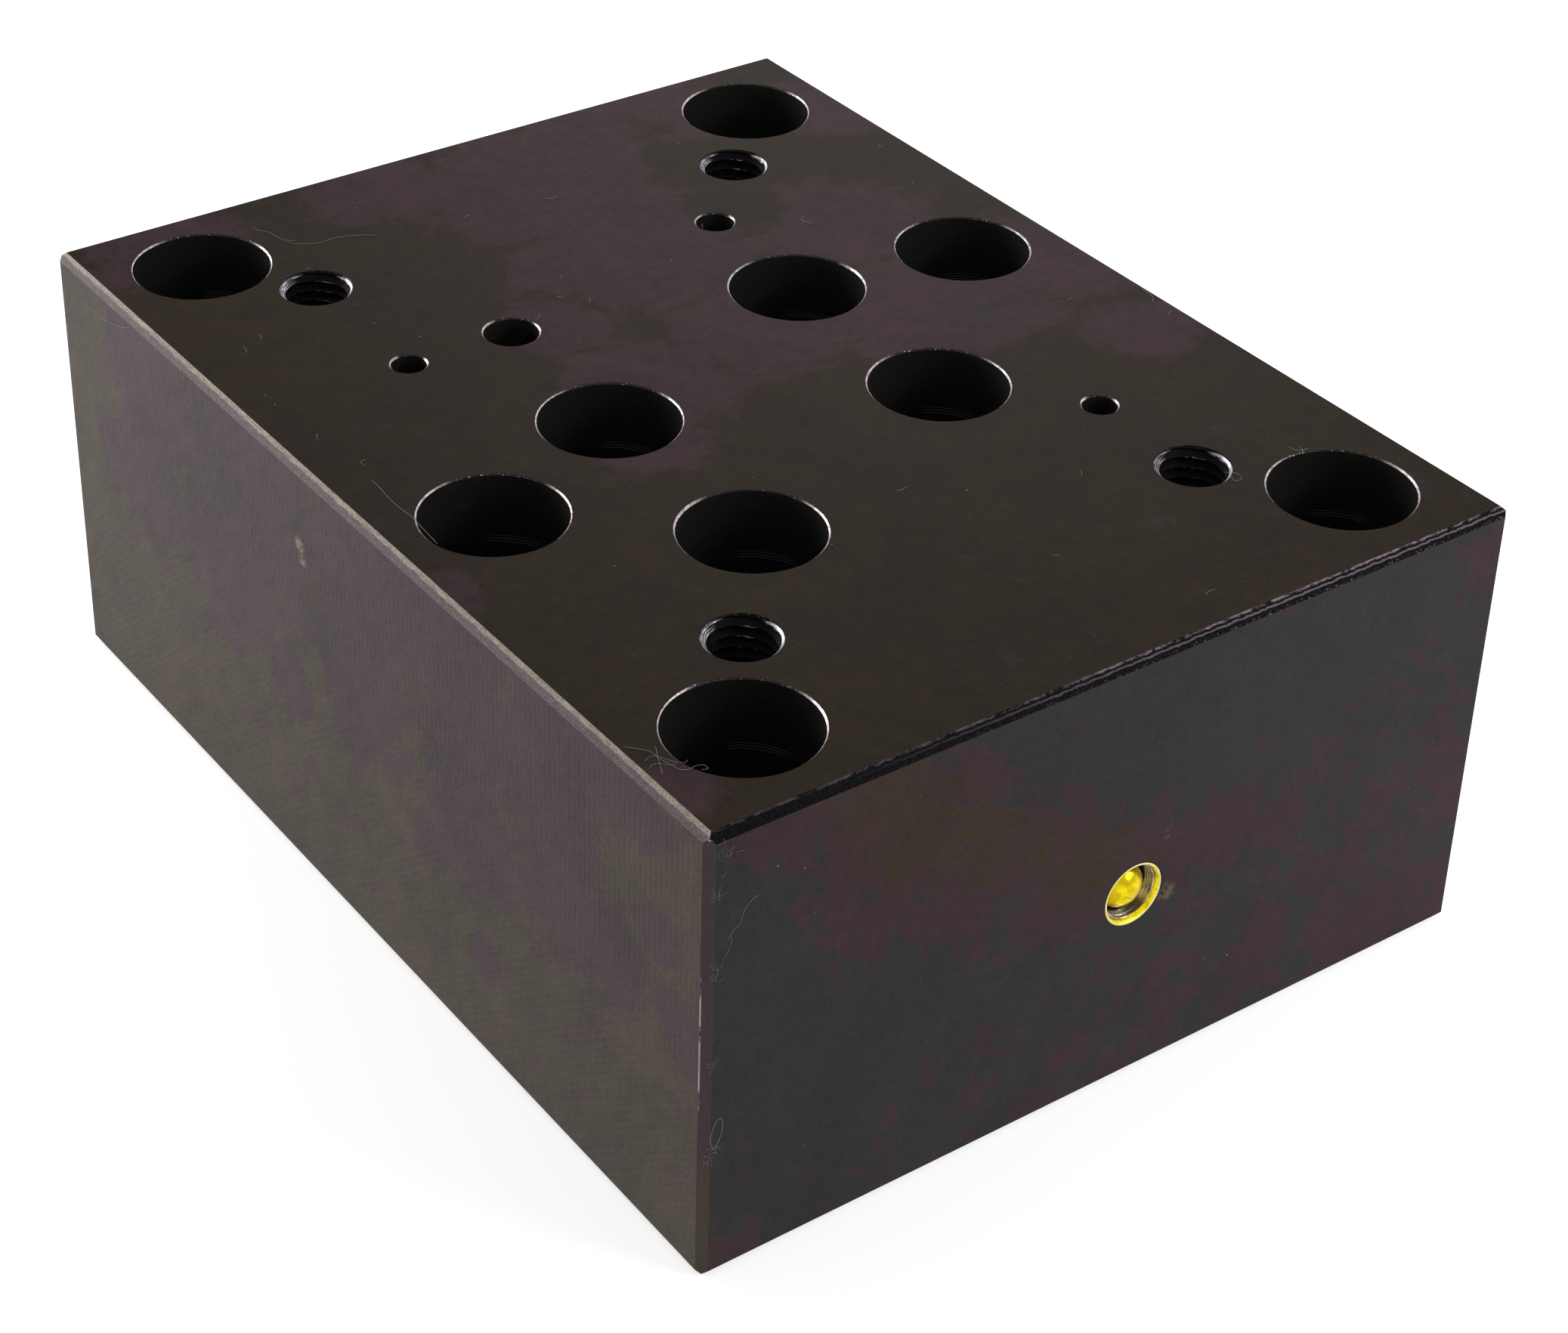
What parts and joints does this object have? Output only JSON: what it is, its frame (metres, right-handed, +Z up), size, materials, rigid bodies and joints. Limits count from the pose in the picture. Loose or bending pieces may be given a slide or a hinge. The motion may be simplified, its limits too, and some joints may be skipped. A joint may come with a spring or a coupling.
{
  "type": "hydraulic manifold block",
  "caption": "Rectangular steel adaptor block that carries a size 16 valve on a size 25 hydraulic subplate, with ported faces, bolt holes, a plugged gallery and seals.",
  "frame": {"origin": "centre of the underside, the face that bolts to the subplate", "axes": "+Z up to the valve face, +Y along the block's length, +X across it; the plugged gallery opens in the -Y face"},
  "size_m": [0.122, 0.16, 0.065],
  "materials": {
    "block": "milled and dark phosphated, satin",
    "plug_sleeve": "yellow zinc plated, bare where the ball has passed",
    "plug_ball": "yellow zinc plated, bright",
    "seal": "matt black nitrile rubber"
  },
  "bodies": {
    "root": {"manifold_block": "block", "gallery_plug_sleeve": "plug_sleeve", "gallery_plug_ball": "plug_ball", "o_ring_p": "seal", "o_ring_t": "seal", "o_ring_a": "seal", "o_ring_b": "seal", "o_ring_x": "seal", "o_ring_y": "seal"}
  },
  "joints": []
}
